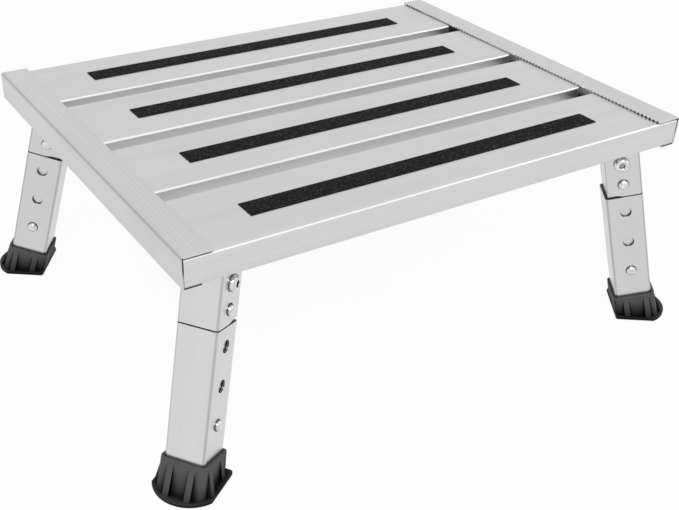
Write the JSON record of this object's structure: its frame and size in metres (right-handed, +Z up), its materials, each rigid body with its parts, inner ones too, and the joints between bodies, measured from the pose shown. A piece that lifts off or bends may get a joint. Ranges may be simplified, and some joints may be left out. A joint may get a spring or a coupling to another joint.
{
  "type": "caravan entry step",
  "caption": "Slatted aluminium entry step with splayed telescopic legs that fold in beneath the tread, on ribbed rubber feet with flat soles.",
  "frame": {"origin": "on the ground, under the middle of the tread, midway between the feet", "axes": "+X along the tread's long side, -Y towards the side that a person steps up from, +Z up"},
  "size_m": [0.5384, 0.4276, 0.201],
  "materials": {
    "slat_aluminium": "satin",
    "rail_aluminium": "satin",
    "leg_aluminium": "satin",
    "grip_tape": "gritty",
    "foot_rubber": "matte",
    "zinc_steel": "zinc plated",
    "spring_steel": "polished"
  },
  "bodies": {
    "platform": {"slat_front": "slat_aluminium", "slat_middle_front": "slat_aluminium", "slat_middle_rear": "slat_aluminium", "slat_rear": "slat_aluminium", "grip_strip_front": "grip_tape", "grip_strip_middle_front": "grip_tape", "grip_strip_middle_rear": "grip_tape", "grip_strip_rear": "grip_tape", "end_rail_left": "rail_aluminium", "end_rail_right": "rail_aluminium", "bracket_front_left": "leg_aluminium", "bracket_front_right": "leg_aluminium", "bracket_rear_left": "leg_aluminium", "bracket_rear_right": "leg_aluminium", "pivot_bolts": "zinc_steel"},
    "inner_leg_front_left": {"inner_tube_front_left": "leg_aluminium"},
    "outer_leg_front_left": {"outer_tube_front_left": "leg_aluminium", "foot_front_left": "foot_rubber"},
    "fold_catch_front_left": {"fold_clip_front_left": "spring_steel"},
    "height_catch_front_left": {"height_clip_front_left": "spring_steel"},
    "inner_leg_front_right": {"inner_tube_front_right": "leg_aluminium"},
    "outer_leg_front_right": {"outer_tube_front_right": "leg_aluminium", "foot_front_right": "foot_rubber"},
    "fold_catch_front_right": {"fold_clip_front_right": "spring_steel"},
    "height_catch_front_right": {"height_clip_front_right": "spring_steel"},
    "inner_leg_rear_left": {"inner_tube_rear_left": "leg_aluminium"},
    "outer_leg_rear_left": {"outer_tube_rear_left": "leg_aluminium", "foot_rear_left": "foot_rubber"},
    "fold_catch_rear_left": {"fold_clip_rear_left": "spring_steel"},
    "height_catch_rear_left": {"height_clip_rear_left": "spring_steel"},
    "inner_leg_rear_right": {"inner_tube_rear_right": "leg_aluminium"},
    "outer_leg_rear_right": {"outer_tube_rear_right": "leg_aluminium", "foot_rear_right": "foot_rubber"},
    "fold_catch_rear_right": {"fold_clip_rear_right": "spring_steel"},
    "height_catch_rear_right": {"height_clip_rear_right": "spring_steel"}
  },
  "joints": [
    {"name": "fold_front_left", "type": "hinge", "parent": "platform", "child": "inner_leg_front_left", "pos_m": [-0.2048, -0.1591, 0.1593], "axis": [0.5779, -0.8161, 0], "range_deg": [0, 102], "deforming": ["fold_clip_front_left"]},
    {"name": "height_front_left", "type": "slide", "parent": "inner_leg_front_left", "child": "outer_leg_front_left", "axis": [0.2112, 0.1496, 0.9659], "range_m": [-0.0635, 0], "deforming": ["height_clip_front_left"]},
    {"name": "fold_button_front_left", "type": "slide", "parent": "inner_leg_front_left", "child": "fold_catch_front_left", "axis": [-0.5779, 0.8161, 0], "range_m": [0, 0.0058], "stiffness_N_per_m": 2500, "springref_m": -0.003, "deforming": ["fold_clip_front_left"]},
    {"name": "height_button_front_left", "type": "slide", "parent": "inner_leg_front_left", "child": "height_catch_front_left", "axis": [-0.5779, 0.8161, 0], "range_m": [0, 0.0058], "stiffness_N_per_m": 2500, "springref_m": -0.003, "deforming": ["height_clip_front_left"]},
    {"name": "fold_front_right", "type": "hinge", "parent": "platform", "child": "inner_leg_front_right", "pos_m": [0.2048, -0.1591, 0.1593], "axis": [0.5779, 0.8161, 0], "range_deg": [0, 102], "deforming": ["fold_clip_front_right"]},
    {"name": "height_front_right", "type": "slide", "parent": "inner_leg_front_right", "child": "outer_leg_front_right", "axis": [-0.2112, 0.1496, 0.9659], "range_m": [-0.0635, 0], "deforming": ["height_clip_front_right"]},
    {"name": "fold_button_front_right", "type": "slide", "parent": "inner_leg_front_right", "child": "fold_catch_front_right", "axis": [0.5779, 0.8161, 0], "range_m": [0, 0.0058], "stiffness_N_per_m": 2500, "springref_m": -0.003, "deforming": ["fold_clip_front_right"]},
    {"name": "height_button_front_right", "type": "slide", "parent": "inner_leg_front_right", "child": "height_catch_front_right", "axis": [0.5779, 0.8161, 0], "range_m": [0, 0.0058], "stiffness_N_per_m": 2500, "springref_m": -0.003, "deforming": ["height_clip_front_right"]},
    {"name": "fold_rear_left", "type": "hinge", "parent": "platform", "child": "inner_leg_rear_left", "pos_m": [-0.2048, 0.1591, 0.1593], "axis": [-0.5779, -0.8161, 0], "range_deg": [0, 102], "deforming": ["fold_clip_rear_left"]},
    {"name": "height_rear_left", "type": "slide", "parent": "inner_leg_rear_left", "child": "outer_leg_rear_left", "axis": [0.2112, -0.1496, 0.9659], "range_m": [-0.0635, 0], "deforming": ["height_clip_rear_left"]},
    {"name": "fold_button_rear_left", "type": "slide", "parent": "inner_leg_rear_left", "child": "fold_catch_rear_left", "axis": [0.5779, 0.8161, 0], "range_m": [0, 0.0058], "stiffness_N_per_m": 2500, "springref_m": -0.003, "deforming": ["fold_clip_rear_left"]},
    {"name": "height_button_rear_left", "type": "slide", "parent": "inner_leg_rear_left", "child": "height_catch_rear_left", "axis": [0.5779, 0.8161, 0], "range_m": [0, 0.0058], "stiffness_N_per_m": 2500, "springref_m": -0.003, "deforming": ["height_clip_rear_left"]},
    {"name": "fold_rear_right", "type": "hinge", "parent": "platform", "child": "inner_leg_rear_right", "pos_m": [0.2048, 0.1591, 0.1593], "axis": [-0.5779, 0.8161, 0], "range_deg": [0, 102], "deforming": ["fold_clip_rear_right"]},
    {"name": "height_rear_right", "type": "slide", "parent": "inner_leg_rear_right", "child": "outer_leg_rear_right", "axis": [-0.2112, -0.1496, 0.9659], "range_m": [-0.0635, 0], "deforming": ["height_clip_rear_right"]},
    {"name": "fold_button_rear_right", "type": "slide", "parent": "inner_leg_rear_right", "child": "fold_catch_rear_right", "axis": [-0.5779, 0.8161, 0], "range_m": [0, 0.0058], "stiffness_N_per_m": 2500, "springref_m": -0.003, "deforming": ["fold_clip_rear_right"]},
    {"name": "height_button_rear_right", "type": "slide", "parent": "inner_leg_rear_right", "child": "height_catch_rear_right", "axis": [-0.5779, 0.8161, 0], "range_m": [0, 0.0058], "stiffness_N_per_m": 2500, "springref_m": -0.003, "deforming": ["height_clip_rear_right"]}
  ]
}
